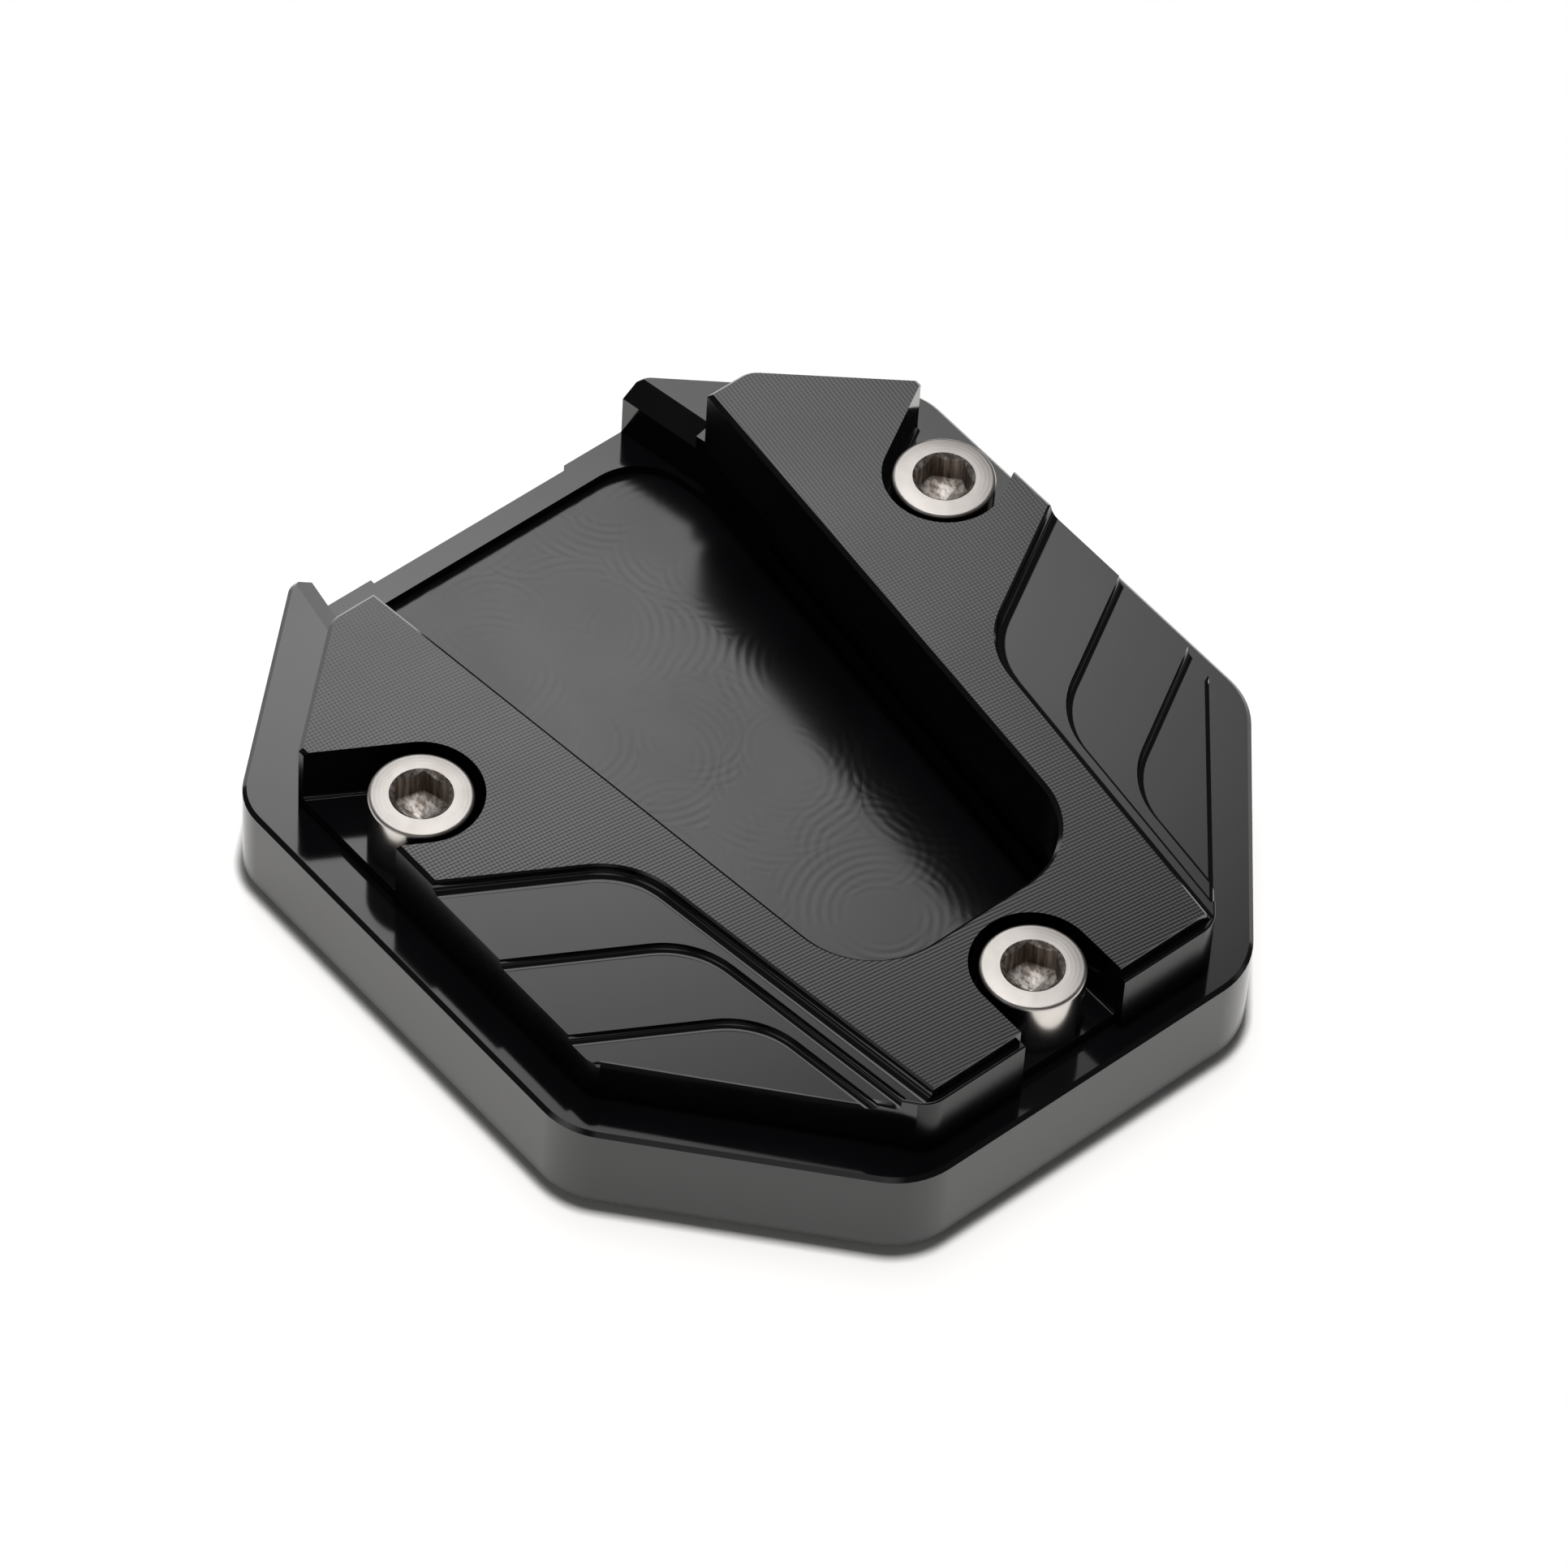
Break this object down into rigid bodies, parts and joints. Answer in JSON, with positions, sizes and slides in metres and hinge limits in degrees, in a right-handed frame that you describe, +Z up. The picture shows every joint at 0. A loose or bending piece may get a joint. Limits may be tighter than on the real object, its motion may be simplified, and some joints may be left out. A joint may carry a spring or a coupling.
{
  "type": "kickstand foot enlarger",
  "caption": "Eight-sided plate that widens a motorbike side stand's foot: a pocketed base plate and a stepped U-shaped clamp plate held by cap screws.",
  "frame": {"origin": "middle of the base plate in plan, on the ground under it", "axes": "+X across, +Y to the open rear where the stand foot goes in, -Y to the third screw, +Z up from the ground"},
  "size_m": [0.0826, 0.0902, 0.019],
  "materials": {
    "black_anodised": "milled and anodised black, satin gloss",
    "steel_screw": "bright stainless"
  },
  "bodies": {
    "root": {"base_plate": "black_anodised", "clamp_plate": "black_anodised", "cap_screws": "steel_screw"}
  },
  "joints": []
}
